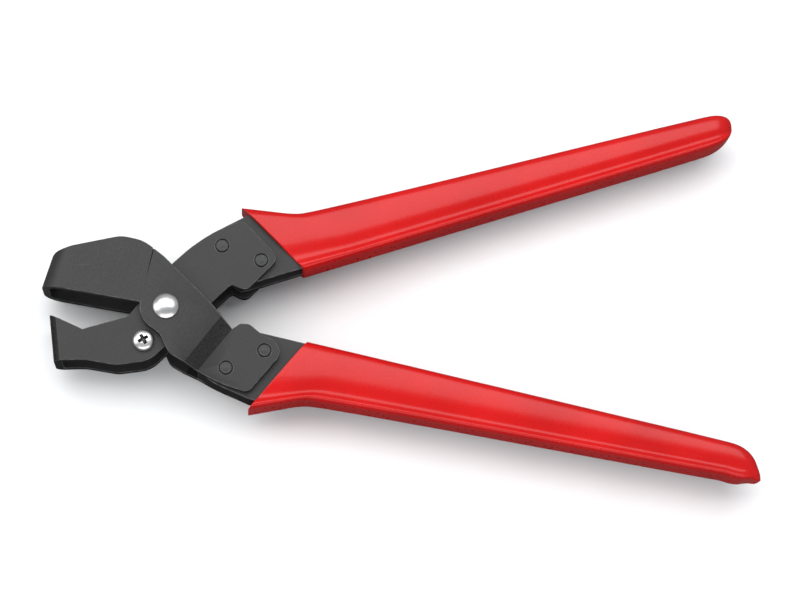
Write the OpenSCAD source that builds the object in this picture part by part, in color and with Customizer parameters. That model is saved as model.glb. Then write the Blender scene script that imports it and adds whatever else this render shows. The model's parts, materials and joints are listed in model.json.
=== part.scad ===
// Notching pliers: a box-shaped punch swings into a U-shaped die.
// The pivot axis is the Z axis, and the rear face of the pivot's riveted head lies on z = 0.
// +X runs along the tool towards the handles, and +Y towards the handle that carries the punch.

/* [Jaws] */
// Outside width of the punch, which is the width of the notch it cuts
punch_w = 16; // [13:0.5:20]
// Thickness of the sheet that both jaws are bent from
sheet = 2.5; // [2:0.1:3]
// Gap between the punch and the die on each flat side
shear_gap = 0.3; // [0.2:0.05:0.5]
// Distance from the pivot to the punch's closed end
punch_reach = 39.4; // [33:0.2:48]
// Gap between the closed ends of the punch and the die
tip_gap = 0.7; // [0.5:0.1:1.2]
// Outside bend radius at the corners of the punch
punch_bend_r = 3.2; // [2.8:0.1:4]
// Angle of the die's cutting edge above the tool's axis
edge_angle = 12; // [8:0.5:16]
// Length of the punch's point, from its closed end to the bottom of the V
v_run = 11.1; // [8:0.5:14]
// Height of the die's side plates at the closed end
die_depth = 13.5; // [10:0.5:17]
// Radius of the die's boss round the pivot
boss_r = 8.8; // [7.5:0.1:10]

/* [Pivot] */
// Radius of the pivot pin's shank
pin_r = 3; // [2.5:0.1:3.6]
// Radius of the pin's domed front head
pin_head_r = 4.4; // [4.2:0.1:5.5]
// Height of the domed head
pin_dome_h = 2.4; // [1.6:0.1:3]
// Height of the riveted rear head
pin_tail_h = 1.6; // [1.2:0.1:2.4]
// Thickness of the washer under the rear head
pin_washer_t = 0.8; // [0.5:0.1:1.2]
// Radius of the washer under the rear head
pin_washer_r = 6; // [5.8:0.1:7]
// Running clearance between a pin and a hole that turns on it
run_gap = 0.06; // [0.03:0.01:0.1]
// Wall of the sleeve on the pin, between the punch's sides
pin_sleeve_wall = 0.8; // [0.5:0.1:0.9]

/* [Spring] */
// Diameter of the spring wire
wire_d = 1.6; // [1.2:0.1:1.8]
// Rise of the coil in one turn
coil_pitch = 1.7; // [1.65:0.05:2.2]
// Number of whole turns besides the part turn between the legs
coil_turns = 2; // [1:1:3]
// Length of each straight leg
leg_len = 25; // [22:1:28]

/* [Stop screw] */
// Distance of the stop screw from the pivot
stop_dist = 13.6; // [13.4:0.1:15]
// Angle of the stop screw, turned back from the closed end of the jaws
stop_angle = 54.7; // [50:1:60]
// Radius of the stop screw's shank
stop_r = 2; // [1.5:0.1:2.2]
// Radius of the stop screw's head
stop_head_r = 3.8; // [3.2:0.1:4]
// Height of the stop screw's head
stop_head_h = 2.8; // [2.2:0.1:3.2]
// Width of the nut across its flats
nut_flats = 7; // [5.5:0.5:7]
// Height of the nut
nut_h = 2.4; // [1.8:0.1:2.6]
// Thickness of the washer under the nut
stop_washer_t = 0.9; // [0.5:0.1:1]

/* [Handles] */
// Distance from the pivot to the ends of the grips
handle_reach = 206; // [170:1:240]
// Angle of each handle's inner edge from the tool's axis, with the tool open
inner_angle = 15.5; // [13:0.5:18]
// Angle of each handle's outer edge from the tool's axis, with the tool open
outer_angle = 12.6; // [10:0.2:14]
// Distance of each grip's outer edge line from the pivot
outer_offset = 21.4; // [20:0.2:24]
// Distance that each grip's inner edge line passes under the pivot
inner_offset = 0.8; // [0.4:0.1:1]
// Wall of the steel handle channels
channel_wall = 2; // [1.5:0.1:2.5]
// Thickness of the grip coating on the flat sides
coat = 2; // [1.5:0.1:3]
// Thickness of the grip coating on the edges
coat_edge = 1; // [0.8:0.1:1.5]
// Radius of the long edges of the grips
grip_round = 3; // [1.5:0.5:4]
// Clearance between a channel and the coating on it
coat_gap = 0.05; // [0.02:0.01:0.1]

/* [Rivets] */
// Radius of the rivets' shanks
rivet_r = 1.9; // [1.5:0.1:2.1]
// Radius of the rivets' flush heads
rivet_head_r = 2.4; // [2.3:0.1:2.8]
// Depth of the rivets' heads in the plates
rivet_head_h = 0.9; // [0.6:0.1:1.2]
// Wall of the spacer sleeves on the rivets, inside the channels
spacer_wall = 1; // [0.6:0.1:1.2]
// Clearance round a rivet, a screw or a sleeve that doesn't turn
fix_gap = 0.04; // [0.02:0.01:0.08]
// Radius of the small hole through the punch's side plates
sight_hole_r = 1.55; // [1:0.05:2]

/* [Hidden] */
$fn = 64;

// Layers, measured from the tool's middle plane
punch_out = punch_w / 2;
punch_in = punch_out - sheet;
die_in = punch_out + shear_gap;
die_out = die_in + sheet;
channel_in = punch_in - channel_wall;
grip_half = punch_in + coat;
mid_z = die_out + pin_washer_t + pin_tail_h;
// The die's hollow bends are this much rounder than the punch that swings into them
bend_slack = 0.8;
die_bend_r = punch_bend_r + bend_slack + sheet;

// Directions of the jaws' bend axes, and distances of their closed ends
punch_lean = 94.3;
die_lean = 71;
die_reach = punch_reach + tip_gap + sheet;
// The die's jaw is drawn for this reach, and its end moves with the reach asked for
drawn_reach = 42.6;
jaw_shift = die_reach - drawn_reach;

// The joggle, where the die's plates step in by a plate's thickness to lie on the channel
joggle_angle = 50;
joggle_start = 16.8;
joggle_end = 21.9;
joggle_step = die_in - punch_in;

// Depth of the groove in the die's front plate
groove_depth = 1.5;

// Longer than either jaw, for the tools that shape them
jaw_span = 70;

// Places of the rivets and of the small hole, for the upper handle
front_rivet = [19.6, 21.35];
rear_rivet = [32.8, 15.8];
sight_hole = [16.8, 13.1];

// How far a cutting shape runs on past the body it cuts, and how far two joined solids reach into each other
overrun = 5;
joined = 0.5;

// Sizes that follow from the fits
stop_sleeve_wall = 1;
pin_sleeve_r = pin_r + fix_gap + pin_sleeve_wall;
coil_gap = 0.2;
coil_r = pin_sleeve_r + wire_d / 2 + coil_gap;
spacer_r = rivet_r + fix_gap + spacer_wall;
// The spring's legs bear on the spacers of the front rivets
leg_gap = 0.05;
leg_reach = coil_r + spacer_r + wire_d / 2 + leg_gap;
leg_angle = atan2(front_rivet.y, front_rivet.x) - asin(leg_reach / norm(front_rivet));
stop_at = stop_dist * [-cos(stop_angle), -sin(stop_angle)];

// ---- Outlines with rounded corners ----

function unit(v) = v / norm(v);
function turn_of(a) = a > 180 ? a - 360 : a < -180 ? a + 360 : a;

// The points of an arc of radius r that rounds the corner at b, between a and c
function corner_arc(a, b, c, r) =
    let (
        to_a = unit(a - b),
        to_c = unit(c - b),
        half = acos(to_a * to_c) / 2,
        centre = b + unit(to_a + to_c) * r / sin(half),
        from = b + to_a * r / tan(half) - centre,
        to = b + to_c * r / tan(half) - centre,
        first = atan2(from.y, from.x),
        sweep = turn_of(atan2(to.y, to.x) - first),
        steps = max(2, ceil(abs(sweep) / 10))
    )
    [for (i = [0:steps]) centre + r * [cos(first + sweep * i / steps), sin(first + sweep * i / steps)]];

// Each corner is [x, y, radius], and a radius of 0 leaves it sharp
function rounded(corners) =
    let (n = len(corners), at = [for (c = corners) [c.x, c.y]])
    [for (i = [0:n - 1])
        each corners[i].z == 0 ? [at[i]] : corner_arc(at[(i + n - 1) % n], at[i], at[(i + 1) % n], corners[i].z)];

// A point at x on the line that runs at an angle and passes the pivot at a distance
function on_line(angle, offset, x) = [x, (offset + x * sin(angle)) / cos(angle)];

// A corner from a point and a radius
function corner(p, r) = [p.x, p.y, r];

// ---- Helpers ----

module slab(low, high) {
    translate([0, 0, mid_z + low])
        linear_extrude(high - low)
            children();
}

module both_sides(low, high) {
    slab(low, high) children();
    slab(-high, -low) children();
}

module rod(at, r, low, high) {
    translate([at.x, at.y, mid_z + low])
        cylinder(r = r, h = high - low);
}

module tube(at, r_in, r_out, low, high) {
    difference() {
        rod(at, r_out, low, high);
        rod(at, r_in, low - 1, high + 1);
    }
}

// Extrudes a section across a jaw: the section's x runs from the closed end to the handles, and its y across the plates
module across(lean) {
    rotate([0, 0, lean - 90])
        translate([0, jaw_span, mid_z])
            rotate([90, 0, 0])
                linear_extrude(2 * jaw_span)
                    children();
}

// Section of the space inside a jaw bent from one sheet, from its closed end on
module bend_hollow(half_w, bend_r, reach) {
    polygon(rounded([
        [sheet - reach, sheet - half_w, bend_r - sheet], [jaw_span, sheet - half_w, 0],
        [jaw_span, half_w - sheet, 0], [sheet - reach, half_w - sheet, bend_r - sheet]]));
}

// Section of the space outside the closed end and its two bends, whose end facets are carried on past the flat sides
module bend_outside(half_w, bend_r, reach) {
    low = corner_arc([0, -half_w], [-reach, -half_w], [-reach, half_w], bend_r);
    last = len(low) - 1;
    start = low[0] + unit(low[0] - low[1]);
    polygon(concat(
        [[start.x, -start.y], [start.x, mid_z], [-jaw_span, mid_z], [-jaw_span, -mid_z], [start.x, -mid_z], start],
        [for (i = [1:last]) low[i]],
        [for (i = [last:-1:1]) [low[i].x, -low[i].y]]));
}

// ---- Jaws ----

// Side view of the die's jaw and of its plates, as far as the ends on the lower handle
module die_outline() {
    edge_start = 6;
    drawn_edge_y = 10.1;
    edge_far = (die_reach + edge_start) * [-cos(edge_angle), sin(edge_angle)];
    edge_near = edge_start * [-cos(edge_angle), sin(edge_angle)];
    top = edge_far.y - drawn_edge_y + die_depth;
    polygon(rounded([
        corner(edge_far, 0),
        corner(edge_near, 0),
        [-5.6, -6.5, 0],
        [-2.3, -9.5, 3],
        [0.6, -16.2, 5],
        [16.5, -26.3, 30],
        [26.8, -30.2, 3],
        [38.7, -17.0, 4],
        [36.4, -12.4, 3],
        [32.4, -10.4, 6],
        [28.0, -6.4, 3],
        [24.4, -6.15, 2.2],
        [22.2, -8.9, 1.2],
        [15.6, 0.3, 20],
        [-0.2, 17.5, 20],
        [-7, 23.3, 12],
        [-14.5, 25.2, 10],
        [-31 - jaw_shift, top + 8.8, 25],
        [-37.7 - jaw_shift, top + 7.1, 4],
        [-44.4 - jaw_shift, top - 4, 0]]));
    circle(boss_r);
}

// Side view of the punch and of its plates, as far as the ends on the upper handle
module punch_outline() {
    v_slope = 0.513;
    v_bottom = [v_run - punch_reach, -6.4];
    polygon(rounded([
        [-punch_reach - overrun, v_bottom.y + v_slope * (v_run + overrun), 0],
        corner(v_bottom, 0.4),
        [-12.9, -2.5, 3],
        [-8.6, 2.6, 5],
        [-2.6, 9.5, 4],
        [2.6, 15.7, 8],
        [9.0, 21.2, 40],
        [16.5, 26.1, 30],
        [26.8, 30.2, 3],
        [38.7, 17.0, 3.4],
        [36.9, 14.4, 3],
        [27.6, 5.5, 2.6],
        [25.0, 6.2, 2.5],
        [22.6, 7.9, 1.2],
        [21.3, 6.8, 1],
        [-6.0, -18.1, 10],
        [-17.3, -19.2, 9],
        [-28, -16.9, 20],
        [-punch_reach - overrun, -16.9, 0]]));
}

// How far the joggle's slope has run when it is a height away from its lower end
function joggle_x(height) = joggle_end - height * (joggle_end - joggle_start) / joggle_step;

// Section of the space inside the plates where they step in, with the slope carried on outwards
module joggle_hollow() {
    wide = mid_z;
    polygon([for (side = [-1, 1])
        each turned(side, [
            [-jaw_span, wide], [joggle_x(wide - punch_in), wide],
            [joggle_end, punch_in], [jaw_span, punch_in]])]);
}

// Section of the space outside the stepped plate on one side
module joggle_outside(side) {
    polygon([
        [joggle_x(mid_z - punch_out), side * mid_z], [joggle_end, side * punch_out],
        [jaw_span, side * punch_out], [jaw_span, side * mid_z]]);
}

// A line of points on one side of the middle, in the order that closes it with the other side's
function turned(side, points) =
    let (n = len(points))
    [for (i = [0:n - 1]) let (p = points[side > 0 ? n - 1 - i : i]) [p.x, side * p.y]];

// A thin tapered groove in the front plate, along which the die's jaw is set to its width
module relief_groove() {
    polygon([[-3.5, 21.8], [-3.0, 21.8], [-6.6, 9.4]]);
}

module die_jaw() {
    color("#3a3a38")
        difference() {
            slab(-die_out, die_out) die_outline();
            across(die_lean) bend_outside(die_out, die_bend_r, die_reach);
            intersection() {
                across(die_lean) bend_hollow(die_out, die_bend_r, die_reach);
                across(joggle_angle) joggle_hollow();
            }
            for (side = [-1, 1])
                across(joggle_angle) joggle_outside(side);
            slab(die_out - groove_depth, mid_z) relief_groove();
            rod([0, 0], pin_r + fix_gap, -mid_z, mid_z);
            rivet_holes(-1);
        }
}

module punch_jaw() {
    color("#454543")
        difference() {
            slab(-punch_out, punch_out) punch_outline();
            across(punch_lean) bend_outside(punch_out, punch_bend_r, punch_reach);
            across(punch_lean) bend_hollow(punch_out, punch_bend_r, punch_reach);
            rod([0, 0], pin_r + run_gap, -mid_z, mid_z);
            rod(stop_at, stop_r + fix_gap, -mid_z, mid_z);
            rod(sight_hole, sight_hole_r, -mid_z, mid_z);
            rivet_holes(1);
        }
}

// ---- Rivets ----

module rivet(at) {
    proud = 0.1;
    color("#50504d") {
        rod(at, rivet_r, -punch_out, punch_out);
        rod(at, rivet_head_r, punch_out - rivet_head_h, punch_out + proud);
        rod(at, rivet_head_r, -punch_out - proud, rivet_head_h - punch_out);
    }
}

// Holes for the two rivets of a handle, with room for their heads: 1 for the upper, -1 for the lower
module rivet_holes(side) {
    for (p = [front_rivet, rear_rivet]) {
        at = [p.x, side * p.y];
        rod(at, rivet_r + fix_gap, -mid_z, mid_z);
        rod(at, rivet_head_r + fix_gap, punch_out - rivet_head_h - fix_gap, mid_z);
        rod(at, rivet_head_r + fix_gap, -mid_z, rivet_head_h + fix_gap - punch_out);
    }
}

module spacer(at) {
    color("#8a8a85")
        tube(at, rivet_r + fix_gap, spacer_r, fix_gap - channel_in, channel_in - fix_gap);
}

// ---- Handles, drawn for the upper one ----

// Where the handle's inner edge line ends, and where the channel in it ends on its two edges
end_x = handle_reach * cos(inner_angle) + 1.5;
channel_end = [end_x - 7, end_x - 9];
// Where the channel's outer edge turns towards the jaws, and the shoulder that it runs to
turn_x = 46;
turn_r = 12;
shoulder = [28.6, 32.6];
shoulder_r = 5;
// The grip's mouth, from its inner to its flared outer corner, and the end of the flare
mouth_x = 47.6;
mouth_corner = [26.5, 35.6];
flare_x = 47.2;

// Side view of the steel channel, set in from the grip's edges, and its hollow when wall is not 0
module channel_outline(wall) {
    inner = coat_edge - inner_offset;
    outer = outer_offset - coat_edge - wall;
    open = wall == 0 ? 0 : 4;
    polygon(rounded([
        corner(on_line(inner_angle, inner - open, 25.5 - open), wall == 0 ? 2 : 0),
        corner(on_line(inner_angle, inner - open, channel_end.x), 0),
        corner(on_line(outer_angle, outer, channel_end.y), 3),
        corner(on_line(outer_angle, outer, turn_x), turn_r),
        [shoulder.x, shoulder.y - wall, shoulder_r],
        [16.5, 26.7 - wall * 1.1, 30],
        [8.8 - open, 21.6 - wall * 1.1 - open * 0.65, wall == 0 ? 1.5 : 0]]));
}

module channel() {
    difference() {
        slab(-punch_in, punch_in) channel_outline(0);
        slab(-channel_in, channel_in) channel_outline(channel_wall);
        rod(front_rivet, rivet_r + fix_gap, -mid_z, mid_z);
        rod(rear_rivet, rivet_r + fix_gap, -mid_z, mid_z);
    }
}

// Side view of the grip, with its slanted mouth and flared outer corner
module grip_outline() {
    polygon(rounded([
        corner(on_line(inner_angle, -inner_offset, mouth_x), 0.8),
        corner(on_line(inner_angle, -inner_offset, end_x + 1), 5),
        corner(on_line(outer_angle, outer_offset, end_x - 1.8), 5),
        corner(on_line(outer_angle, outer_offset, flare_x), 15),
        corner(mouth_corner, 0.8)]));
}

// A bar along an edge line, with its long edges rounded and its body on the side given
module edge_bar(angle, offset, side) {
    w = 60;
    low = side > 0 ? offset : offset - w;
    before_pivot = 50;
    rotate([0, 0, angle])
        translate([-before_pivot, 0, mid_z])
            rotate([90, 0, 90])
                linear_extrude(handle_reach + 2 * before_pivot)
                    polygon(rounded([
                        [low, -grip_half, grip_round], [low + w, -grip_half, grip_round],
                        [low + w, grip_half, grip_round], [low, grip_half, grip_round]]));
}

module grip() {
    flare_angle = atan2(-3.2, 20.7);
    flare_offset = 39.27;
    difference() {
        intersection() {
            slab(-grip_half, grip_half) grip_outline();
            edge_bar(inner_angle, -inner_offset, 1);
            union() {
                edge_bar(outer_angle, outer_offset, -1);
                intersection() {
                    edge_bar(flare_angle, flare_offset, -1);
                    // Only the part before the bend follows the flare
                    slab(-mid_z, mid_z) square([flare_x + 1.8, 2 * mouth_corner.y]);
                }
            }
        }
        slab(-punch_in - coat_gap, punch_in + coat_gap) offset_channel();
    }
}

// The pocket in a grip: the channel's side view with a little room round it
module offset_channel() {
    gap = coat_gap;
    inner = coat_edge - inner_offset - gap;
    outer = outer_offset - coat_edge + gap;
    polygon(rounded([
        corner(on_line(inner_angle, inner, 20), 0),
        corner(on_line(inner_angle, inner, channel_end.x + gap), 0),
        corner(on_line(outer_angle, outer, channel_end.y + gap), 3),
        corner(on_line(outer_angle, outer, turn_x), turn_r),
        [shoulder.x, shoulder.y + gap, shoulder_r],
        [10, 24, 0]]));
}

// ---- Sub-parts ----

module pivot_pin() {
    color("#d9dadb") {
        rod([0, 0], pin_r, -die_out - pin_washer_t - joined, die_out + joined);
        rod([0, 0], pin_head_r, -mid_z, -die_out - pin_washer_t);
        translate([0, 0, mid_z + die_out])
            pin_dome();
    }
}

// A shallow dome on a short straight rim
module pin_dome() {
    rim = 0.6;
    rise = pin_dome_h - rim;
    ball_r = (pin_head_r * pin_head_r + rise * rise) / (2 * rise);
    cylinder(r = pin_head_r, h = rim);
    intersection() {
        translate([0, 0, pin_dome_h - ball_r])
            sphere(ball_r);
        cylinder(r = pin_head_r, h = pin_dome_h + 1);
    }
}

module pivot_washer() {
    color("#b8b9ba")
        tube([0, 0], pin_r + fix_gap, pin_washer_r, -die_out - pin_washer_t, -die_out);
}

module pivot_sleeve() {
    color("#9a9a96")
        tube([0, 0], pin_r + fix_gap, pin_sleeve_r, run_gap - punch_in, punch_in - run_gap);
}

// The torsion spring: a close coil on the sleeve, with a straight leg to each front rivet
module opening_spring() {
    sides = 10;
    sweep = 360 * coil_turns + 2 * (90 - leg_angle);
    rise = coil_pitch * sweep / 360;
    rings = ceil(sweep / 15);
    start = 90 + leg_angle;
    // Ring i of the wire: its centre, its outward and its upward direction are worked out from its angle
    coil = [for (i = [0:rings])
        let (a = start + sweep * i / rings, z = rise * (i / rings - 0.5))
        [[coil_r * cos(a), coil_r * sin(a), z], [cos(a), sin(a), 0]]];
    first = coil[0];
    last = coil[rings];
    leg_up = [first.x + leg_len * [cos(leg_angle), sin(leg_angle), 0], first.y];
    leg_down = [last.x + leg_len * [cos(leg_angle), -sin(leg_angle), 0], last.y];
    path = concat([leg_up], coil, [leg_down]);
    points = [for (ring = path, k = [0:sides - 1])
        ring[0] + wire_d / 2 * (cos(360 * k / sides) * ring[1] + sin(360 * k / sides) * [0, 0, 1])];
    walls = [for (i = [0:len(path) - 2], k = [0:sides - 1])
        let (next = (k + 1) % sides)
        [i * sides + k, i * sides + next, (i + 1) * sides + next, (i + 1) * sides + k]];
    caps = [[for (k = [sides - 1:-1:0]) k], [for (k = [0:sides - 1]) (len(path) - 1) * sides + k]];
    color("#a8a9aa")
        translate([0, 0, mid_z])
            polyhedron(points, concat(walls, caps), convexity = 6);
}

module stop_screw() {
    past_nut = 0.6;
    chamfer_h = 0.8;
    chamfer_w = 1;
    recess_h = 1.4;
    recess = [4.4, 0.9];
    color("#d9dadb")
        difference() {
            union() {
                rod(stop_at, stop_r, -punch_out - stop_washer_t - nut_h - past_nut, punch_out + joined);
                rod(stop_at, stop_head_r, punch_out, punch_out + stop_head_h - chamfer_h);
                translate([stop_at.x, stop_at.y, mid_z + punch_out + stop_head_h - chamfer_h])
                    cylinder(r1 = stop_head_r, r2 = stop_head_r - chamfer_w, h = chamfer_h);
            }
            // Cross recess, turned as the screw happens to sit
            translate([stop_at.x, stop_at.y, mid_z + punch_out + stop_head_h - recess_h])
                rotate([0, 0, 28])
                    for (turn = [0, 90])
                        rotate([0, 0, turn])
                            translate([-recess.x / 2, -recess.y / 2, 0])
                                cube([recess.x, recess.y, 2 * recess_h]);
        }
}

module stop_sleeve() {
    color("#9a9a96")
        tube(stop_at, stop_r + fix_gap, stop_r + fix_gap + stop_sleeve_wall, fix_gap - punch_in, punch_in - fix_gap);
}

module stop_washer() {
    color("#b8b9ba")
        tube(stop_at, stop_r + fix_gap, nut_flats / 2, -punch_out - stop_washer_t, -punch_out);
}

module stop_nut() {
    high = -punch_out - stop_washer_t;
    color("#c6c7c8")
        difference() {
            translate([stop_at.x, stop_at.y, mid_z + high - nut_h])
                cylinder(r = nut_flats / sqrt(3), h = nut_h, $fn = 6);
            rod(stop_at, stop_r + fix_gap, high - nut_h - 1, high + 1);
        }
}

module upper_channel() {
    color("#3f3f3d") channel();
}

module lower_channel() {
    color("#3f3f3d") mirror([0, 1, 0]) channel();
}

module upper_grip() {
    color("#e0262c") grip();
}

module lower_grip() {
    color("#e0262c") mirror([0, 1, 0]) grip();
}

module upper_front_rivet() {
    rivet(front_rivet);
}

module upper_rear_rivet() {
    rivet(rear_rivet);
}

module lower_front_rivet() {
    mirror([0, 1, 0]) rivet(front_rivet);
}

module lower_rear_rivet() {
    mirror([0, 1, 0]) rivet(rear_rivet);
}

module upper_front_spacer() {
    spacer(front_rivet);
}

module upper_rear_spacer() {
    spacer(rear_rivet);
}

module lower_front_spacer() {
    mirror([0, 1, 0]) spacer(front_rivet);
}

module lower_rear_spacer() {
    mirror([0, 1, 0]) spacer(rear_rivet);
}

die_jaw();
punch_jaw();
pivot_pin();
pivot_washer();
pivot_sleeve();
opening_spring();
stop_screw();
stop_sleeve();
stop_washer();
stop_nut();
upper_channel();
lower_channel();
upper_grip();
lower_grip();
upper_front_rivet();
upper_rear_rivet();
lower_front_rivet();
lower_rear_rivet();
upper_front_spacer();
upper_rear_spacer();
lower_front_spacer();
lower_rear_spacer();
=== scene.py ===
# %% [markdown]
# # Notching pliers
# Hand pliers that cut a rectangular notch in the edge of plastic trunking. A box-shaped punch swings into a
# U-shaped die, and both are bent from black steel sheet, riveted to handles with a dipped red coating. The
# sizes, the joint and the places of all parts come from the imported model, which is loaded first and stays
# as it is. The steps after it give each part its edges, its small forms and its finish.

# %% Load the frame
import json
from math import atan2, cos, pi, radians, sin, sqrt

import bmesh
import bpy
from mathutils import Matrix, Vector

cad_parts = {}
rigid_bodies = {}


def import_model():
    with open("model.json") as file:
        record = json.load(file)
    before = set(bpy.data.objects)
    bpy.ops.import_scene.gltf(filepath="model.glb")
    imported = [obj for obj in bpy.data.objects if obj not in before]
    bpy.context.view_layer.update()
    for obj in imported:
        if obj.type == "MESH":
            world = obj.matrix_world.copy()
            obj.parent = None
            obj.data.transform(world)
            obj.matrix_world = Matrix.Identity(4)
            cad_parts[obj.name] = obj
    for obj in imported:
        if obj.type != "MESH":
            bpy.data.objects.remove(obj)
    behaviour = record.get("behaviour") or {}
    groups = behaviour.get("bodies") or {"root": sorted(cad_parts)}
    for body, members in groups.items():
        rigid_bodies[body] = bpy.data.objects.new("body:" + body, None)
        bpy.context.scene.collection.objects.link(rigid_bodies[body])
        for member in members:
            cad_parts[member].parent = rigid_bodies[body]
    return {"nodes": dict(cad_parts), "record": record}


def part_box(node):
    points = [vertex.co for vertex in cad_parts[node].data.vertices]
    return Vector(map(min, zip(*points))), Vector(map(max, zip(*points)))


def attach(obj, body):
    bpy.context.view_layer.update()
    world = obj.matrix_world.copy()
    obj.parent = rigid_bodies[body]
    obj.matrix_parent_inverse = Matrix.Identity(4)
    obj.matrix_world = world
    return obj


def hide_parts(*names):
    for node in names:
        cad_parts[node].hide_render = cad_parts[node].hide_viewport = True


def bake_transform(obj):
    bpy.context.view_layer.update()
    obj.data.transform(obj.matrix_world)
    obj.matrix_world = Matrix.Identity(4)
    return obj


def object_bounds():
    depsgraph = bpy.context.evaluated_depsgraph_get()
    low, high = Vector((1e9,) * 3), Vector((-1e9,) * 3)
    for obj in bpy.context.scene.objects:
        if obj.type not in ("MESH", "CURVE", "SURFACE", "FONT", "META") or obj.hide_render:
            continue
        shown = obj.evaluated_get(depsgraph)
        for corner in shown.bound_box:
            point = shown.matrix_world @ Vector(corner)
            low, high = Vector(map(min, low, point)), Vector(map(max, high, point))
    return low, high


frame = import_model()
cad_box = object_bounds()
mm = 0.001

# %% [markdown]
# The tool is built up in layers on both sides of its middle plane: the channels inside, the punch's plates
# on them, and the die's plates outside. Their heights are read from the boxes of the parts.

# %% Heights and places of the parts
def middle(node):
    low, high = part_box(node)
    return (low + high) / 2


mid_z = middle("punch_jaw").z
punch_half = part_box("punch_jaw")[1].z - mid_z
die_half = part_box("die_jaw")[1].z - mid_z
grip_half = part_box("upper_grip")[1].z - mid_z
rivet_names = [f"{side}_{end}_rivet" for side in ("upper", "lower") for end in ("front", "rear")]
body_of = {node: body for body, nodes in frame["record"]["behaviour"]["bodies"].items() for node in nodes}
print("half widths in mm: punch", round(punch_half / mm, 2), "die", round(die_half / mm, 2))

# %% [markdown]
# ## Camera
# The camera stands 800 mm from the tool, nearly square to its flat side, and is leaned a little towards the
# lower handle, so that the lower edges of all the plates show. The lens is long, which keeps the two
# handles in proportion.

# %% Camera
lean, swing, roll = radians(13.68), radians(-4.35), radians(2.735)
camera_distance = 800 * mm
aim_right, aim_up = 79.86 * mm, 4.62 * mm

back = Vector((sin(swing) * cos(lean), -sin(lean), cos(lean) * cos(swing))).normalized()
level = Vector((0, 1, 0)).cross(back).normalized()
upright = back.cross(level)
right = cos(roll) * level - sin(roll) * upright
up = sin(roll) * level + cos(roll) * upright
place = Vector((0, 0, mid_z)) + aim_right * right + aim_up * up + camera_distance * back

camera_data = bpy.data.cameras.new("camera")
camera_data.sensor_width = 36
camera_data.lens = 105.12
camera = bpy.data.objects.new("camera", camera_data)
bpy.context.scene.collection.objects.link(camera)
camera.matrix_world = Matrix.Translation(place) @ Matrix((right, up, back)).transposed().to_4x4()
bpy.context.scene.camera = camera
print("camera at", [round(c, 3) for c in place])

# %% [markdown]
# ## Studio
# A large soft box above the far side lights the flat faces evenly, and its mirror image gives the glossy
# coating its pale sheen. A second one at the left keeps the jaws readable, and a low one in front lights
# the walls of the grips. The surroundings are a soft grey, so that bright metal has something darker to
# mirror.

# %% Lights and surroundings
def soft_box(name, place, target, size, power):
    light = bpy.data.lights.new(name, "AREA")
    light.shape = "RECTANGLE"
    light.size, light.size_y = size
    light.energy = power
    lamp = bpy.data.objects.new(name, light)
    bpy.context.scene.collection.objects.link(lamp)
    turn = (place - target).to_track_quat("Z", "Y").to_matrix().to_4x4()
    lamp.matrix_world = Matrix.Translation(place) @ turn


tool_middle = (cad_box[0] + cad_box[1]) / 2
soft_box("top_light", tool_middle + Vector((0, 0.6, 1.0)), tool_middle + Vector((0, 0.6, 0)), (2.2, 1.1), 20)
soft_box("left_light", tool_middle + Vector((-0.9, 0.1, 0.5)), tool_middle, (0.5, 0.5), 2.5)
soft_box("front_fill", tool_middle + Vector((0, -0.9, 0.45)), tool_middle, (1.6, 0.4), 4.5)
world = bpy.data.worlds.new("studio")
world.use_nodes = True
world.node_tree.nodes["Background"].inputs["Color"].default_value = (0.93, 0.96, 1.0, 1)
world.node_tree.nodes["Background"].inputs["Strength"].default_value = 0.42
bpy.context.scene.world = world
bpy.context.scene.view_settings.view_transform = "Standard"

# %% [markdown]
# ## Finishes
# Each finish is a small node tree on the Principled shader. The patterns are noises on Object coordinates,
# in metres: a noise of scale 1000 has blotches of about a millimetre. One noise drives the colour, one
# drives the roughness, and one the fine relief, so that no surface is a single flat tone.

# %% Helpers for finishes
def new_finish(name, **sockets):
    finish = bpy.data.materials.new(name)
    finish.use_nodes = True
    shader = finish.node_tree.nodes["Principled BSDF"]
    for socket, value in sockets.items():
        shader.inputs[socket.replace("_", " ")].default_value = value
    return finish


def noise(finish, scale, detail=3.0, stretch=(1, 1, 1)):
    nodes, links = finish.node_tree.nodes, finish.node_tree.links
    place, mapping, pattern = (nodes.new("ShaderNode" + kind) for kind in ("TexCoord", "Mapping", "TexNoise"))
    mapping.inputs["Scale"].default_value = stretch
    pattern.inputs["Scale"].default_value = scale
    pattern.inputs["Detail"].default_value = detail
    links.new(place.outputs["Object"], mapping.inputs["Vector"])
    links.new(mapping.outputs["Vector"], pattern.inputs["Vector"])
    return pattern.outputs["Fac"]


def ramp(finish, factor, stops):
    node = finish.node_tree.nodes.new("ShaderNodeValToRGB")
    finish.node_tree.links.new(factor, node.inputs["Fac"])
    while len(node.color_ramp.elements) < len(stops):
        node.color_ramp.elements.new(0.5)
    for element, (position, colour) in zip(node.color_ramp.elements, stops):
        element.position = position
        element.color = (*colour, 1)
    return node.outputs["Color"]


def blend_colours(finish, factor, first, second, kind="MIX"):
    """Mixes two colours. Input 0 is the factor, 6 and 7 are the colours, and output 2 is the mix."""
    node = finish.node_tree.nodes.new("ShaderNodeMix")
    node.data_type = "RGBA"
    node.blend_type = kind
    for socket, value in ((node.inputs[0], factor), (node.inputs[6], first), (node.inputs[7], second)):
        if isinstance(value, bpy.types.NodeSocket):
            finish.node_tree.links.new(value, socket)
        else:
            socket.default_value = value
    return node.outputs[2]


def set_colour(finish, colour):
    shader = finish.node_tree.nodes["Principled BSDF"]
    finish.node_tree.links.new(colour, shader.inputs["Base Color"])


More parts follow.
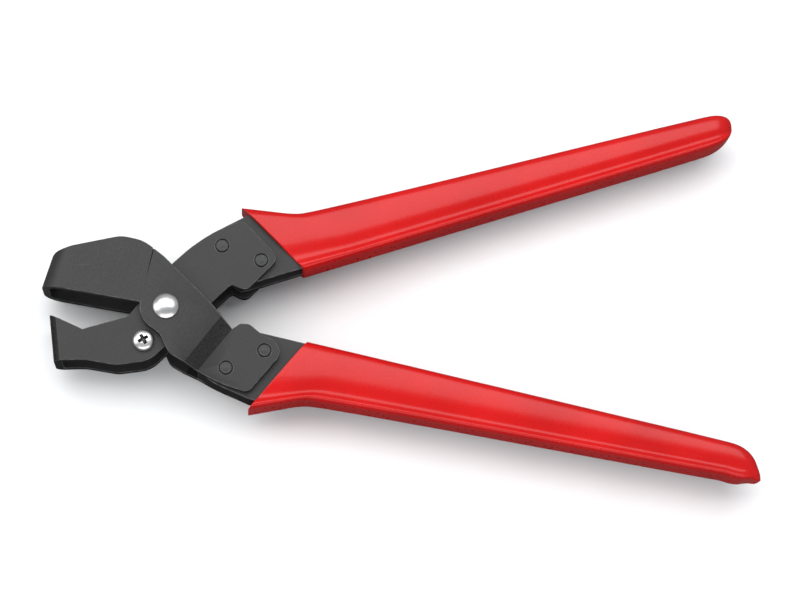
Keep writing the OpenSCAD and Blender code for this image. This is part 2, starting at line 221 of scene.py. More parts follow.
def set_roughness(finish, factor, low, high):
    node = finish.node_tree.nodes.new("ShaderNodeMapRange")
    node.inputs["To Min"].default_value = low
    node.inputs["To Max"].default_value = high
    finish.node_tree.links.new(factor, node.inputs["Value"])
    shader = finish.node_tree.nodes["Principled BSDF"]
    finish.node_tree.links.new(node.outputs["Result"], shader.inputs["Roughness"])


def add_relief(finish, height, depth, strength=1.0):
    node = finish.node_tree.nodes.new("ShaderNodeBump")
    node.inputs["Distance"].default_value = depth
    node.inputs["Strength"].default_value = strength
    finish.node_tree.links.new(height, node.inputs["Height"])
    normal = finish.node_tree.nodes["Principled BSDF"].inputs["Normal"]
    if normal.is_linked:
        finish.node_tree.links.new(normal.links[0].from_socket, node.inputs["Normal"])
    finish.node_tree.links.new(node.outputs["Normal"], normal)


def grey(level, warmth=0.0):
    return (level * (1 + warmth), level, level * (1 - warmth))


print("finish helpers ready")

# %% [markdown]
# ### Blackened steel
# The sheet is rolled, blanked and blackened. The flat faces have a satin black skin with a fine grain, a
# faint cloudiness and a few handling scratches. The sheared edges are rougher, with streaks that run through
# the sheet's thickness, and darker, partly in their own tone and partly as painted shade. The joggles and
# the tight bends get the same darker colour as painted shade. Along the arrises the skin is worn thin, so
# that steel shows through, and their lighter colour is also a painted highlight.

# %% Blackened steel: flat faces
black_face = new_finish("blackened_steel_face", Metallic=0.0, Specular_IOR_Level=0.3)
grain = noise(black_face, 2600, 4)
clouds = noise(black_face, 90, 5)
scratch_lines = noise(black_face, 260, 2, (0.12, 2.4, 1))
face_tone = ramp(black_face, grain, [(0.32, grey(0.021, 0.03)), (0.68, grey(0.034, 0.03))])
cloud_tone = ramp(black_face, clouds, [(0.3, grey(0.86)), (0.72, grey(1.1))])
toned = blend_colours(black_face, 1.0, face_tone, cloud_tone, "MULTIPLY")
scratches = ramp(black_face, scratch_lines, [(0.74, grey(0)), (0.78, grey(0.15))])
set_colour(black_face, blend_colours(black_face, scratches, toned, (*grey(0.1), 1)))
set_roughness(black_face, clouds, 0.36, 0.52)
add_relief(black_face, grain, 0.012 * mm)
add_relief(black_face, noise(black_face, 700, 3), 0.03 * mm, 0.5)
print("face finish:", black_face.name)

# %% Blackened steel: sheared edges and painted shade, worn arrises and painted highlight
sheared_edge_and_shade = new_finish("blackened_steel_sheared_edge_and_painted_shade", Metallic=0.0, Specular_IOR_Level=0.2)
streaks = noise(sheared_edge_and_shade, 1500, 3, (1, 1, 0.08))
# dark colour of the sheared edges, partly painted shade; on the joggles and bends it is all painted shade
set_colour(sheared_edge_and_shade, ramp(sheared_edge_and_shade, streaks, [(0.35, grey(0.006)), (0.7, grey(0.018))]))
set_roughness(sheared_edge_and_shade, streaks, 0.5, 0.7)
add_relief(sheared_edge_and_shade, streaks, 0.02 * mm)

arris_wear_and_highlight = new_finish("blackened_steel_arris_wear_and_painted_highlight", Metallic=0.25, Specular_IOR_Level=0.5)
arris_tone = noise(arris_wear_and_highlight, 420, 5)
# lighter colour of the arrises: worn skin, and a painted highlight along them
set_colour(arris_wear_and_highlight, ramp(arris_wear_and_highlight, arris_tone, [(0.38, grey(0.05)), (0.62, grey(0.13)), (0.8, grey(0.2))]))
set_roughness(arris_wear_and_highlight, arris_tone, 0.3, 0.5)
add_relief(arris_wear_and_highlight, noise(arris_wear_and_highlight, 1800, 3), 0.01 * mm)
print("edge finishes:", sheared_edge_and_shade.name, arris_wear_and_highlight.name)

# %% [markdown]
# ### Bright and plain steel
# The pivot pin and the stop screw are nickel-plated: nearly a mirror, dulled by tumbling marks. The washers
# and the nut have a greyer zinc coat. The sleeves are turned, so their marks run round them, and the
# spring's wire is drawn, so its marks run along it. The recess of the screw gets a dark colour as painted
# shade, and the rivets are blackened like the sheet and carry the small marks of the press.

# %% Bright and plain steel
def bright_steel(name, level, rough, mark_scale, mark_depth, stretch=(1, 1, 1)):
    finish = new_finish(name, Metallic=1.0)
    marks = noise(finish, mark_scale, 4, stretch)
    haze = noise(finish, 300, 4)
    dull = tuple(c * 0.82 for c in grey(level, 0.01))
    set_colour(finish, ramp(finish, haze, [(0.3, dull), (0.65, grey(level, 0.01))]))
    set_roughness(finish, haze, rough * 0.75, rough * 1.3)
    add_relief(finish, marks, mark_depth)
    return finish


nickel = bright_steel("bright_nickel", 0.8, 0.3, 900, 0.02 * mm)
zinc = bright_steel("zinc_coat", 0.62, 0.36, 1400, 0.02 * mm)
turned = bright_steel("turned_steel", 0.5, 0.34, 2500, 0.015 * mm, (0.1, 0.1, 1))
spring_wire = bright_steel("drawn_spring_wire", 0.55, 0.28, 2200, 0.015 * mm, (0.15, 0.15, 1))
print("bright metals:", nickel.name, zinc.name, turned.name, spring_wire.name)

# %% Painted shade of the screw recess, and the rivets
recess_painted_shade = new_finish("screw_recess_painted_shade", Metallic=1.0)
# dark colour of the screw's recess: painted shade
set_colour(recess_painted_shade, ramp(recess_painted_shade, noise(recess_painted_shade, 800), [(0.3, grey(0.05)), (0.7, grey(0.12))]))
set_roughness(recess_painted_shade, noise(recess_painted_shade, 900), 0.4, 0.6)

rivet_black = new_finish("blackened_rivet", Metallic=0.1, Specular_IOR_Level=0.4)
peening = noise(rivet_black, 1500, 4)
set_colour(rivet_black, ramp(rivet_black, peening, [(0.3, grey(0.02)), (0.7, grey(0.045))]))
set_roughness(rivet_black, peening, 0.35, 0.55)
add_relief(rivet_black, peening, 0.05 * mm)
print("dark metals:", recess_painted_shade.name, rivet_black.name)

# %% [markdown]
# ### Red dipped coating
# The handles are dipped in liquid vinyl, which flows before it sets: the colour is deep and even, the gloss
# is high, and the skin has a slight orange-peel ripple. Handling leaves a fine haze in the gloss, and here
# and there the film is thicker and deeper in colour.

# %% Red dipped coating
red_dip = new_finish("red_dip", Specular_IOR_Level=0.3, Coat_Weight=0.12, Coat_Roughness=0.1)
film = noise(red_dip, 45, 4)
deep_red, full_red = (0.5, 0.002, 0.002), (0.61, 0.004, 0.004)
specks = ramp(red_dip, noise(red_dip, 1400, 2), [(0.24, (0.93, 0.93, 0.93)), (0.3, (1, 1, 1))])
film_colour = ramp(red_dip, film, [(0.3, deep_red), (0.68, full_red)])
set_colour(red_dip, blend_colours(red_dip, 1.0, film_colour, specks, "MULTIPLY"))
set_roughness(red_dip, noise(red_dip, 600, 5), 0.22, 0.36)
add_relief(red_dip, noise(red_dip, 160, 2), 0.035 * mm, 0.6)
add_relief(red_dip, noise(red_dip, 1700, 3), 0.004 * mm)
print("coating:", red_dip.name)

# %% [markdown]
# ## Floor
# The tool lies on a pale, matt tabletop, which isn't part of the object. It is pale where it is seen
# directly and darker to all other rays, so that the red coating keeps its depth near it.

# %% Floor
table_size, table_gap = 6, 0.05 * mm
table_finish = new_finish("pale_table", Specular_IOR_Level=0.15)
table_grain = noise(table_finish, 60, 4)
seen_directly = table_finish.node_tree.nodes.new("ShaderNodeLightPath").outputs["Is Camera Ray"]
pale = ramp(table_finish, table_grain, [(0.3, grey(0.94)), (0.7, grey(0.96))])
set_colour(table_finish, blend_colours(table_finish, seen_directly, (*grey(0.12), 1), pale))
set_roughness(table_finish, table_grain, 0.75, 0.85)
bpy.ops.object.select_all(action="DESELECT")
bpy.ops.mesh.primitive_plane_add(size=table_size, location=(tool_middle.x, tool_middle.y, -table_gap))
table = bpy.context.object
table.name = "table"
table.data.materials.append(table_finish)
print("table top at z =", round(table.location.z / mm, 2), "mm")

# %% [markdown]
# ## Working on a piece
# An operator acts on all that is selected, so a piece is first selected alone and opened in edit mode.
# Faces, edges or points are then picked by a test on their place or normal, and when the piece is done its
# place goes into its mesh, it rides on its body, and the plain part that it stands for is hidden.

# %% Helpers for modelling
def select_only(piece):
    if bpy.context.object and bpy.context.object.mode != "OBJECT":
        bpy.ops.object.mode_set(mode="OBJECT")
    bpy.ops.object.select_all(action="DESELECT")
    piece.select_set(True)
    bpy.context.view_layer.objects.active = piece


def edit(piece, kind="FACE"):
    select_only(piece)
    bpy.ops.object.mode_set(mode="EDIT")
    bpy.ops.mesh.select_mode(type=kind)


def pick(piece, wanted, kind="faces"):
    mesh = bmesh.from_edit_mesh(piece.data)
    for element in (*mesh.faces, *mesh.edges, *mesh.verts):
        element.select_set(False)
    for element in getattr(mesh, kind):
        if wanted(element):
            element.select_set(True)
    bmesh.update_edit_mesh(piece.data)


def extrude(x, y, z):
    bpy.ops.mesh.extrude_region_move(TRANSFORM_OT_translate={"value": (x, y, z)})


def scale(x, y, z, centre):
    bpy.ops.transform.resize(value=(x, y, z), center_override=centre)


def apply_modifier(piece, kind, **settings):
    select_only(piece)
    modifier = piece.modifiers.new(kind.lower(), kind)
    for setting, value in settings.items():
        setattr(modifier, setting, value)
    bpy.ops.object.modifier_apply(modifier=modifier.name)


def finish_piece(piece, name, node, smooth=30):
    select_only(piece)
    bpy.ops.object.transform_apply(location=True, rotation=True, scale=True)
    bpy.ops.object.shade_smooth_by_angle(angle=radians(smooth))
    piece.name = piece.data.name = name
    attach(piece, body_of[node])
    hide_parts(node)
    print(f"{name}: {len(piece.data.polygons)} faces, rides on {body_of[node]}")
    return piece


print("modelling helpers ready")

# %% [markdown]
# ## Sheet-metal parts
# The jaws and the handle channels have the right shape already, but their edges are perfectly sharp, and a
# real blanked edge never is. A copy of each is merged into one skin, its flat faces are joined up again,
# and a fine bevel goes along every sharp edge. The bevel's own faces get the arris finish, so the light
# lines along the arrises are real faces, and their lighter colour is worn skin and a painted highlight. The
# sheets could be modelled again from a plane, but the copy keeps every hole and bend exactly where the
# joint and the rivets need it.

# %% Copy a part and bevel its edges
def merged_copy(node):
    """A copy with its doubles merged, its flat faces joined up and its shortest edges taken out."""
    piece = frame["nodes"][node].copy()
    piece.data = piece.data.copy()
    piece.parent = None
    for key in list(piece.keys()):
        del piece[key]
    bpy.context.scene.collection.objects.link(piece)
    edit(piece, "VERT")
    bpy.ops.mesh.select_all(action="SELECT")
    bpy.ops.mesh.remove_doubles(threshold=0.001 * mm)
    bpy.ops.mesh.dissolve_limited(angle_limit=radians(0.5))
    bpy.ops.mesh.select_all(action="SELECT")
    bpy.ops.mesh.dissolve_degenerate(threshold=0.3 * mm)
    bpy.ops.object.mode_set(mode="OBJECT")
    return piece


def paint_sheet(piece, is_flat):
    """Flat faces get the satin skin. Sheared edges, tight bends and joggles get the darker, rougher one.

    On the bends and joggles its dark colour is painted shade, and on the sheared edges partly so.
    """
    piece.data.materials.clear()
    for finish in (black_face, sheared_edge_and_shade, arris_wear_and_highlight):
        piece.data.materials.append(finish)
    for face in piece.data.polygons:
        # index 1, the darker edge colour, is painted shade on the joggles and bends and partly on the edges
        face.material_index = 0 if abs(face.normal.z) > 0.95 or is_flat(face) else 1


def dressed_sheet(node, arris, is_flat=lambda face: False, is_left_sharp=lambda edge: False):
    piece = merged_copy(node)
    paint_sheet(piece, is_flat)
    edit(piece, "EDGE")
    pick(piece, lambda edge: edge.calc_face_angle(0) > radians(35) and not is_left_sharp(edge), "edges")
    # material 2, the arris finish, is worn skin with a painted highlight
    bpy.ops.mesh.bevel(offset=arris, segments=2, affect="EDGES", clamp_overlap=False, material=2)
    bpy.ops.object.mode_set(mode="OBJECT")
    finish_piece(piece, node + "_dressed", node, smooth=22)


jaw_arris, channel_arris = 0.18 * mm, 0.3 * mm
print("arrises in mm: jaws", round(jaw_arris / mm, 2), "channels", round(channel_arris / mm, 2))


# %% The two jaws
def closed_end_test(node, end_line_angle, depth, share):
    """Finds a jaw's closed end, which is a flat face of the sheet too, though it stands upright.

    It lies within a depth of the jaw's furthest reach, and at least a share of its normal points that way.
    """
    away = Vector((-sin(end_line_angle), cos(end_line_angle), 0))
    reach = max(away.dot(v.co) for v in frame["nodes"][node].data.vertices)
    return lambda face: abs(face.normal.dot(away)) > share and away.dot(face.center) > reach - depth


def in_groove(edge):
    """The groove in the die narrows to a point, where a bevel would run far past its tip."""
    top, tip = Vector((-3.25, 21.8)) * mm, Vector((-6.6, 9.4)) * mm
    across = (tip - top).orthogonal().normalized()
    return all(abs(across.dot(v.co.xy - tip)) < 0.3 * mm and v.co.y > tip.y - 0.1 * mm for v in edge.verts)


is_die_end = closed_end_test("die_jaw", end_line_angle=radians(71), depth=7 * mm, share=0.1)
is_punch_end = closed_end_test("punch_jaw", end_line_angle=radians(94.3), depth=3 * mm, share=0.9)
dressed_sheet("die_jaw", jaw_arris, is_die_end, in_groove)
dressed_sheet("punch_jaw", jaw_arris, is_punch_end)

# %% The two handle channels
for side in ("upper", "lower"):
    dressed_sheet(f"{side}_channel", channel_arris)

# %% [markdown]
# ## Rivets
# Each rivet is set flush in its countersink, and a narrow ring of shadow is left between the head and the
# plate. The press leaves the head slightly raised in the middle, with a shallow ring round it. A flat disc
# would do from afar, but the rings catch the light: the ends of a cylinder are inset ring by ring, and each
# ring is moved along the axis by scaling.

# %% Model the four rivets
rivet_r = 2.06 * mm
# width of each ring of the head from the rim inwards, and how far it ends above the plate, in mm
head_rings = ((0.3, 0.06), (0.5, -0.06), (0.35, 0.05), (0.3, 0.08))


def model_rivet(node):
    at = middle(node)
    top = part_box(node)[1].z - mid_z
    bpy.ops.mesh.primitive_cylinder_add(vertices=48, radius=rivet_r, depth=2 * top, location=at)
    rivet = bpy.context.object
    edit(rivet)
    pick(rivet, lambda face: abs(face.normal.z) > 0.9)
    height = top
    for inset, new_height in head_rings:
        bpy.ops.mesh.inset(thickness=inset * mm)
        scale(1, 1, (top + new_height * mm) / height, at)
        height = top + new_height * mm
    bpy.ops.object.mode_set(mode="OBJECT")
    apply_modifier(rivet, "BEVEL", width=0.12 * mm, segments=2, limit_method="ANGLE", angle_limit=radians(50))
    rivet.data.materials.append(rivet_black)
    finish_piece(rivet, node + "_dressed", node, smooth=40)


for node in rivet_names:
    model_rivet(node)

# %% [markdown]
# ## Pivot pin
# The pin is one turned piece: a riveted head at the back, the shank, and a low domed head at the front. It
# is drawn up from the back: each step extrudes the top face and scales it, and the dome's steps follow a
# circle. An outline turned by a Screw modifier could make it too, but this way every ring's size stays in
# plain sight.

# %% Model the pivot pin
pin_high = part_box("pivot_pin")[1]
head_r = pin_high.x
shank_r = 3 * mm
tail_top, rim_bottom, rim_h = 1.6 * mm, mid_z + die_half, 0.6 * mm
dome_rise = pin_high.z - rim_bottom - rim_h
ball_r = (head_r**2 + dome_rise**2) / (2 * dome_rise)


def dome_steps(radius, rise, ball, steps):
    """Height above the rim and radius of each ring of a dome, from the rim to a small flat at the top."""
    edge, flat_share = atan2(radius, ball - rise), 0.4
    for step in range(1, steps + 1):
        angle = edge * (1 - step / (steps + flat_share))
        yield rise - ball * (1 - cos(angle)), ball * sin(angle)


def draw_up(rings, radius, height, at):
    """Extrudes the selected top face through rings of (height, radius)."""
    for ring_z, ring_r in rings:
        extrude(0, 0, ring_z - height)
        scale(ring_r / radius, ring_r / radius, 1, (at.x, at.y, ring_z))
        radius, height = ring_r, ring_z


bpy.ops.mesh.primitive_cylinder_add(vertices=64, radius=head_r, depth=tail_top, location=(0, 0, tail_top / 2))
pin = bpy.context.object
edit(pin)
pick(pin, lambda face: face.normal.z < -0.9)
bpy.ops.mesh.inset(thickness=1.1 * mm)
bpy.ops.mesh.inset(thickness=0.5 * mm, depth=-0.15 * mm)
pick(pin, lambda face: face.normal.z > 0.9)
pin_rings = [(tail_top, shank_r), (rim_bottom, shank_r), (rim_bottom, head_r), (rim_bottom + rim_h, head_r)]
pin_rings += [(rim_bottom + rim_h + z, r) for z, r in dome_steps(head_r, dome_rise, ball_r, steps=9)]
draw_up(pin_rings, head_r, tail_top, Vector((0, 0, 0)))
bpy.ops.object.mode_set(mode="OBJECT")
apply_modifier(pin, "BEVEL", width=0.15 * mm, segments=2, limit_method="ANGLE", angle_limit=radians(35))
pin.data.materials.append(nickel)
finish_piece(pin, "pivot_pin_dressed", "pivot_pin", smooth=25)

# %% [markdown]
# ## Stop screw
# A pan-head screw with a cross recess. The head is drawn up like the pin's. The recess is cut by a second
# shape, two crossed wedges that narrow downwards, with a boolean, because its walls meet the domed top in
# curves that can't be drawn directly.

# %% Model the stop screw
screw_low, screw_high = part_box("stop_screw")
screw_at = middle("stop_nut")
screw_r, tip_h, tip_taper = 2 * mm, 0.4 * mm, 0.82
under_head = mid_z + punch_half
# height above the plate and radius of each ring of the head, in mm
pan_rings = ((0, 2.0), (0, 3.8), (0.7, 3.8), (1.15, 3.7), (1.6, 3.45),
             (2.0, 3.02), (2.35, 2.42), (2.62, 1.7), (2.79, 0.9))

bpy.ops.mesh.primitive_cylinder_add(vertices=64, radius=screw_r, depth=tip_h,
                                    location=(screw_at.x, screw_at.y, screw_low.z + tip_h / 2))
screw = bpy.context.object
edit(screw)
pick(screw, lambda face: face.normal.z < -0.9)
scale(tip_taper, tip_taper, 1, (screw_at.x, screw_at.y, screw_low.z))
pick(screw, lambda face: face.normal.z > 0.9)
draw_up([(under_head + z * mm, r * mm) for z, r in pan_rings], screw_r, screw_low.z + tip_h, screw_at)
bpy.ops.object.mode_set(mode="OBJECT")
screw.data.materials.append(nickel)
screw.data.materials.append(recess_painted_shade)
print("screw body:", len(screw.data.polygons), "faces")

# %% Cut the screw's recess
wedge_size, wedge_drop, wedge_taper = Vector((5.2, 1.5, 2.2)) * mm, 0.5 * mm, 0.3


def recess_wedge(turn):
    middle_of_wedge = (screw_at.x, screw_at.y, screw_high.z - wedge_drop)
    bpy.ops.mesh.primitive_cube_add(size=1, location=middle_of_wedge, scale=wedge_size, rotation=(0, 0, turn))
    wedge = bpy.context.object
    bpy.ops.object.transform_apply(location=False, rotation=True, scale=True)
    edit(wedge)
    pick(wedge, lambda face: face.normal.z < -0.9)
    scale(wedge_taper, wedge_taper, 1, (screw_at.x, screw_at.y, 0))
    bpy.ops.object.mode_set(mode="OBJECT")
    wedge.data.materials.append(recess_painted_shade)
    return wedge


for turn in (radians(28), radians(118)):
    wedge = recess_wedge(turn)
    # the recess walls take the wedges' finish, the recess's painted shade
    apply_modifier(screw, "BOOLEAN", object=wedge, operation="DIFFERENCE", solver="EXACT",
                   material_mode="TRANSFER")
    bpy.data.objects.remove(wedge)
apply_modifier(screw, "BEVEL", width=0.07 * mm, segments=2, limit_method="ANGLE", angle_limit=radians(40))
finish_piece(screw, "stop_screw_dressed", "stop_screw", smooth=28)

# %% [markdown]
# ## Nut
# A hexagon prism looks right only from above. A real nut is chamfered by turning, so a disc with bevelled
# rims is intersected with the prism, which leaves the curved edge at each corner.

# %% Model the nut
def disc(radius, low, high, at, vertices=64):
    bpy.ops.mesh.primitive_cylinder_add(vertices=vertices, radius=radius, depth=high - low,
                                        location=(at.x, at.y, (low + high) / 2))
    return bpy.context.object


nut_low, nut_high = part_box("stop_nut")
corner_r = (nut_high.x - nut_low.x) / 2
bore_r, rim_slack, bore_overrun = 2.25 * mm, 0.02 * mm, 1 * mm
nut = disc(corner_r, nut_low.z, nut_high.z, screw_at, vertices=6)
nut.rotation_euler.z = radians(30)
select_only(nut)
bpy.ops.object.transform_apply(location=False, rotation=True, scale=False)
rim = disc(corner_r + rim_slack, nut_low.z - 0.001 * mm, nut_high.z + 0.001 * mm, screw_at)
apply_modifier(rim, "BEVEL", width=0.5 * mm, segments=1, limit_method="ANGLE", angle_limit=radians(50))
apply_modifier(nut, "BOOLEAN", object=rim, operation="INTERSECT", solver="EXACT")
bore = disc(bore_r, nut_low.z - bore_overrun, nut_high.z + bore_overrun, screw_at)
apply_modifier(nut, "BOOLEAN", object=bore, operation="DIFFERENCE", solver="EXACT")
for tool in (rim, bore):
    bpy.data.objects.remove(tool)
apply_modifier(nut, "BEVEL", width=0.08 * mm, segments=2, limit_method="ANGLE", angle_limit=radians(25))
nut.data.materials.clear()
nut.data.materials.append(zinc)
finish_piece(nut, "stop_nut_dressed", "stop_nut", smooth=25)

# %% [markdown]
# ## Opening spring
# A torsion spring sits on the sleeve inside the punch. Its wire runs in a close coil and leaves it in two
# straight legs, one to the front rivet of each handle. A ring of the wire is carried round by a Screw
# modifier, and the coil's two open ends are then extruded into the legs. When the jaws turn, the coil winds
# up; here the spring's place is baked into its mesh, and it rides on neither body. A curve with a round
# bevel could make it as well, but the modifier winds the coil in even rings.

# %% Sizes of the spring
wire_r, pitch, whole_turns, leg_length = 0.8 * mm, 1.7 * mm, 2, 25 * mm
coil_gap, leg_gap = 0.2 * mm, 0.05 * mm
sleeve_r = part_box("pivot_sleeve")[1].x
spacer_low, spacer_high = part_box("upper_front_spacer")
coil_r = sleeve_r + wire_r + coil_gap
spacer_r = (spacer_high.x - spacer_low.x) / 2
rivet_at = middle("upper_front_rivet")
rivet_distance = sqrt(rivet_at.x**2 + rivet_at.y**2)
leg_reach = (coil_r + spacer_r + wire_r + leg_gap) / rivet_distance
leg_angle = atan2(rivet_at.y, rivet_at.x) - atan2(leg_reach, sqrt(1 - leg_reach**2))
sweep = 2 * pi * whole_turns + 2 * (pi / 2 - leg_angle)
rise = pitch * sweep / (2 * pi)
start = pi / 2 + leg_angle
print("coil radius in mm:", round(coil_r / mm, 2), "rise in mm:", round(rise / mm, 2))

# %% Wind the coil and draw out its legs
bpy.ops.mesh.primitive_circle_add(vertices=14, radius=wire_r, rotation=(pi / 2, 0, start),
                                  location=(coil_r * cos(start), coil_r * sin(start), mid_z - rise / 2))
spring = bpy.context.object
bpy.ops.object.transform_apply(location=True, rotation=True, scale=True)
apply_modifier(spring, "SCREW", axis="Z", angle=sweep, screw_offset=rise, steps=96, render_steps=96)
edit(spring, "VERT")
for side in (-1, 1):
    pick(spring, lambda edge: edge.is_boundary and (edge.verts[0].co.z - mid_z) * side > 0, "edges")
    extrude(leg_length * cos(leg_angle), -side * leg_length * sin(leg_angle), 0)
    bpy.ops.mesh.edge_face_add()
bpy.ops.mesh.select_all(action="SELECT")
bpy.ops.mesh.normals_make_consistent(inside=False)
bpy.ops.object.mode_set(mode="OBJECT")
apply_modifier(spring, "BEVEL", width=0.2 * mm, segments=2, limit_method="ANGLE", angle_limit=radians(60))
spring.data.materials.append(spring_wire)
select_only(spring)
bpy.ops.object.shade_smooth_by_angle(angle=radians(40))
spring.name = spring.data.name = "opening_spring_dressed"
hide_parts("opening_spring")
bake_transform(spring)
print("spring:", round(sweep / (2 * pi), 2), "turns, leg angle", round(leg_angle * 180 / pi, 1))

# %% [markdown]
# ## Dipped grips
# Each grip is a long bar that tapers between two edge lines, with a slanted mouth and an outer corner that
# flares. Both grips have a raised bead along their lower edge, with a soft valley beside it. A cube is cut
# by the edge lines and then lengthwise into rows. Each row is set to its own height, which draws the
# section. The outer corner is stretched into its flare, the far end is drawn out into a rounded tail, the
# mouth is hollowed, and a Subdivision modifier gives the coating its flowing surface. Sculpting could give
# the same soft shape, but rows and stations keep the two grips alike and easy to change.

# %% Edge lines and rows of the grips
inner_line, outer_line = (radians(15.5), -0.8 * mm), (radians(12.6), 21.4 * mm)
mouth_inner, mouth_outer = Vector((47.6, 12.4)) * mm, Vector((26.5, 27.85)) * mm
mouth_x, tail_x = 20 * mm, 190 * mm
# distance from the beaded edge at the mouth and at the tail, and half height there, in mm
bead_rows = ((0, 0, 5.2), (0.35, 0.35, 6.5), (0.9, 0.8, 7.2), (1.5, 1.3, 7.45), (2.1, 1.8, 7.2),
             (2.9, 2.5, 6.55), (3.9, 3.3, 6.3), (5.2, 4.2, 6.5), (7.0, 5.0, 7.0), (9.5, 6.0, 7.4))
# the same from the plain edge
plain_rows = ((0, 0, 4.2), (0.25, 0.25, 5.1), (0.8, 0.8, 6.1), (1.8, 1.7, 6.9), (3.0, 2.8, 7.3),
              (5.0, 4.2, 7.5))


def line_y(line, x):
    angle, offset = line
    return (offset + x * sin(angle)) / cos(angle)


def grip_edges(side):
    """The edges as functions of x: first the beaded one, which lies towards -Y, and then the plain one."""
    edges = [lambda x, line=line: side * line_y(line, x) for line in (inner_line, outer_line)]
    return edges if side > 0 else edges[::-1]


def row_lines(side):
    """Each row as a line of the side view, its half height, and the side that the cut along it clears."""
    beaded, plain = grip_edges(side)
    for edge, rows, sign, outside in ((beaded, bead_rows, 1, "right"), (plain, plain_rows, -1, "left")):
        for at_mouth, at_tail, height in rows:
            start = (mouth_x, edge(mouth_x) + sign * at_mouth * mm)
            end = (tail_x, edge(tail_x) + sign * at_tail * mm)
            yield start, end, height * mm, None if at_mouth else outside


print("rows:", len(bead_rows), "by the bead and", len(plain_rows), "by the plain edge")


# %% Cut the block
slanted_cuts = [shift * mm for shift in (0.8, 2.5, 6, 10, 14, 17, 19, 21, 23, 25.5, 29)]
upright_cuts = [x * mm for x in (80, 110, 140, 162, 176, 184)]


def cut(start, end, clear=None):
    """Cuts the whole piece by the upright plane through two points, and clears its left or right side."""
    left = Vector((start[1] - end[1], end[0] - start[0], 0)).normalized()
    bpy.ops.mesh.select_all(action="SELECT")
    bpy.ops.mesh.bisect(plane_co=(*start, mid_z), plane_no=left, threshold=0.001 * mm,
                        use_fill=clear is not None, clear_outer=clear == "left", clear_inner=clear == "right")


def station(shift, side):
    """A line parallel to the mouth before the flare, moved along X."""
    return tuple((point.x + shift, side * point.y) for point in (mouth_inner, mouth_outer))


def cut_block(side):
    for start, end, height, outside in row_lines(side):
        cut(start, end, outside)
    for height in (-3 * mm, 3 * mm):
        bpy.ops.mesh.select_all(action="SELECT")
        bpy.ops.mesh.bisect(plane_co=(0, 0, mid_z + height), plane_no=(0, 0, 1))
    cut(*station(0, side), "left" if side > 0 else "right")
    for shift in slanted_cuts:
        cut(*station(shift, side))
    for x in upright_cuts:
        cut((x, -1), (x, 1))


print("cuts across a grip:", 1 + len(slanted_cuts) + len(upright_cuts))


# %% Shape the section and the flare
def on_plane(vert, start, end):
    across = Vector((start[1] - end[1], end[0] - start[0])).normalized()
    return abs(across.dot(vert.co.xy - Vector(start))) < 0.01 * mm


def set_heights(grip, side):
    """Gives every row its height, which draws the bead, the valley and the rounded edges."""
    for start, end, height, outside in row_lines(side):
        pick(grip, lambda v: abs(v.co.z - mid_z) > 4 * mm and on_plane(v, start, end), "verts")
        scale(1, 1, height / grip_half, (0, 0, mid_z))


def flare(x):
    """How far the outer edge is pushed out at a place x: a ramp that starts softly."""
    ramp_end, soft, slope = 47.2 * mm, 6 * mm, 0.3745
    length = ramp_end - x
    length = 0 if length < -soft else length if length > soft else (length + soft)**2 / (4 * soft)
    return slope * length


def flare_corner(grip, side):
    """Stretches every station of the mouth's end away from its inner point, and the one at the mouth last."""
    for shift in slanted_cuts[::-1] + [0]:
        line = station(shift, side)
        pick(grip, lambda v: on_plane(v, *line), "verts")
        points = [v.co.copy() for v in bmesh.from_edit_mesh(grip.data).verts if v.select]
        inside, *between, outside = sorted(points, key=lambda point: abs(point.y))
        scale(1, 1 + flare(outside.x) / abs(outside.y - inside.y), 1, (0, inside.y, 0))


print("flare at the mouth in mm:", round(flare(mouth_outer.x) / mm, 2))


# %% Draw out the tail and open the mouth
tail_rings = 8


def tail_steps(count):
    """Places and scales of the tail's rings: a rounded end that is a little blunter than an ellipse."""
    bluntness, tip_share = 2.3, 0.25
    for step in range(1, count + 1):
        t = sin(pi / 2 * step / (count + tip_share))
        yield t, (1 - t**bluntness) ** (1 / bluntness)


def draw_tail(grip, side, length, middle_share):
    """Draws the end out towards a point at a share of the way from the beaded edge to the plain one."""
    beaded, plain = grip_edges(side)
    bpy.ops.mesh.select_mode(type="FACE")
    pick(grip, lambda face: face.normal.x > 0.9)
    x, size = tail_x, 1
    for t, new_size in tail_steps(tail_rings):
        new_x = tail_x + t * length
        y, new_y = (beaded(at) + middle_share * (plain(at) - beaded(at)) for at in (x, new_x))
        extrude(new_x - x, new_y - y, 0)
        scale(1, new_size / size, new_size / size, (0, new_y, mid_z))
        x, size = new_x, new_size
    pick(grip, lambda vert: vert.co.x > tail_x - 7 * mm, "verts")
    bpy.ops.mesh.vertices_smooth(factor=0.5, repeat=2)


def open_mouth(grip, side):
    """Leaves a flat rim round the plate of the handle, and sinks a pocket behind it."""
    pick(grip, lambda face: face.normal.x < -0.5)
    rim_end = Vector((mouth_outer.x, side * (mouth_outer.y + flare(mouth_outer.x)), mid_z))
    rim_start = Vector((mouth_inner.x, side * mouth_inner.y, mid_z))
    length = (rim_end - rim_start).length
    centre = rim_end.lerp(rim_start, 0.72)
    along, high = 1, 1
    for rim in (0.4, 1.3, 1.9):
        new_along, new_high = (length - 2.5 * rim * mm) / length, (grip_half - rim * mm) / grip_half
        extrude(0, 0, 0)
        scale(new_along / along, new_along / along, new_high / high, centre)
        along, high = new_along, new_high
    for depth in (0.5, 4):
        extrude(depth * cos(inner_line[0]) * mm, side * depth * sin(inner_line[0]) * mm, 0)


print("rings of the tail:", [round(size, 2) for t, size in tail_steps(tail_rings)])


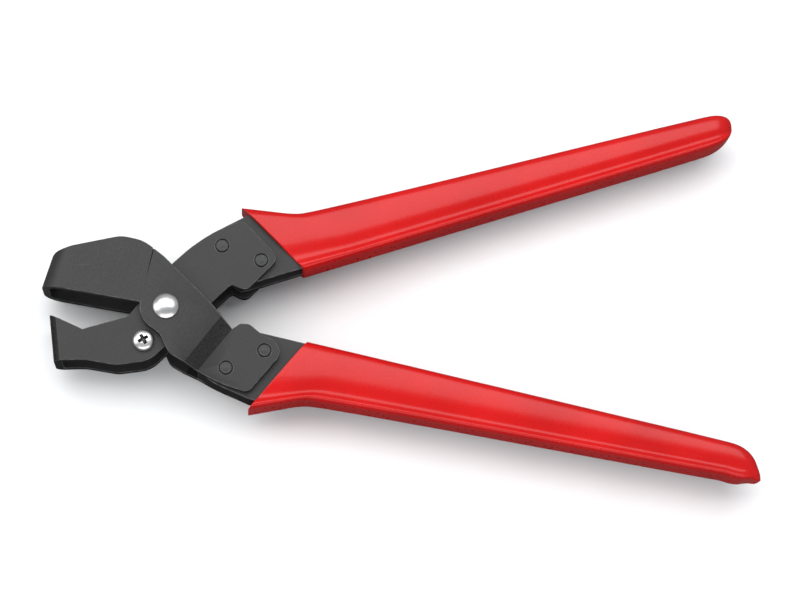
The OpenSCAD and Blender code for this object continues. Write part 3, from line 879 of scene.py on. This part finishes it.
# %% Model the grips
def model_grip(name, side, tail_length, tail_share):
    bpy.ops.mesh.primitive_cube_add(size=1, location=(0.1, side * 0.035, mid_z),
                                    scale=(0.18, 0.09, 2 * grip_half))
    grip = bpy.context.object
    select_only(grip)
    bpy.ops.object.transform_apply(location=True, rotation=False, scale=True)
    edit(grip, "VERT")
    cut_block(side)
    set_heights(grip, side)
    flare_corner(grip, side)
    draw_tail(grip, side, tail_length, tail_share)
    open_mouth(grip, side)
    bpy.ops.mesh.select_all(action="SELECT")
    bpy.ops.mesh.normals_make_consistent(inside=False)
    bpy.ops.object.mode_set(mode="OBJECT")
    apply_modifier(grip, "SUBSURF", levels=2, render_levels=2)
    grip.data.materials.append(red_dip)
    return finish_piece(grip, name + "_dressed", name, smooth=60)


def pull(piece, at, shift, reach):
    """Pulls the skin near a point of the side view, softly over a reach, as a drip of the coating does."""
    edit(piece, "VERT")
    pick(piece, lambda v: (v.co.xy - Vector(at) * mm).length < 0.3 * reach * mm, "verts")
    bpy.ops.transform.translate(value=(shift[0] * mm, shift[1] * mm, 0), use_proportional_edit=True,
                                proportional_edit_falloff="SMOOTH", proportional_size=reach * mm)
    bpy.ops.object.mode_set(mode="OBJECT")


model_grip("upper_grip", 1, tail_length=11 * mm, tail_share=0.56)
lower_grip = model_grip("lower_grip", -1, tail_length=10.3 * mm, tail_share=0.24)
# where the drip starts, how far it is pulled and how far that reaches, in mm
for at, shift, reach in (((192, -63.7), (0.3, -0.5), 4), ((199.6, -63.4), (0.5, -1.0), 2.6)):
    pull(lower_grip, at, shift, reach)

# %% [markdown]
# ## Parts kept as they are
# The washers, the sleeves and the spacers are plain rings on the real tool too. They keep the meshes of the
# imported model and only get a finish: a zinc coat on the washers, and turned steel on the rest.

# %% Finishes of the parts kept as they are
kept = {"pivot_washer": zinc, "stop_washer": zinc, "pivot_sleeve": turned, "stop_sleeve": turned}
kept.update({node.replace("rivet", "spacer"): turned for node in rivet_names})
for node, finish in kept.items():
    materials = frame["nodes"][node].data.materials
    materials.clear()
    materials.append(finish)
print("kept as they are:", len(kept), "parts")
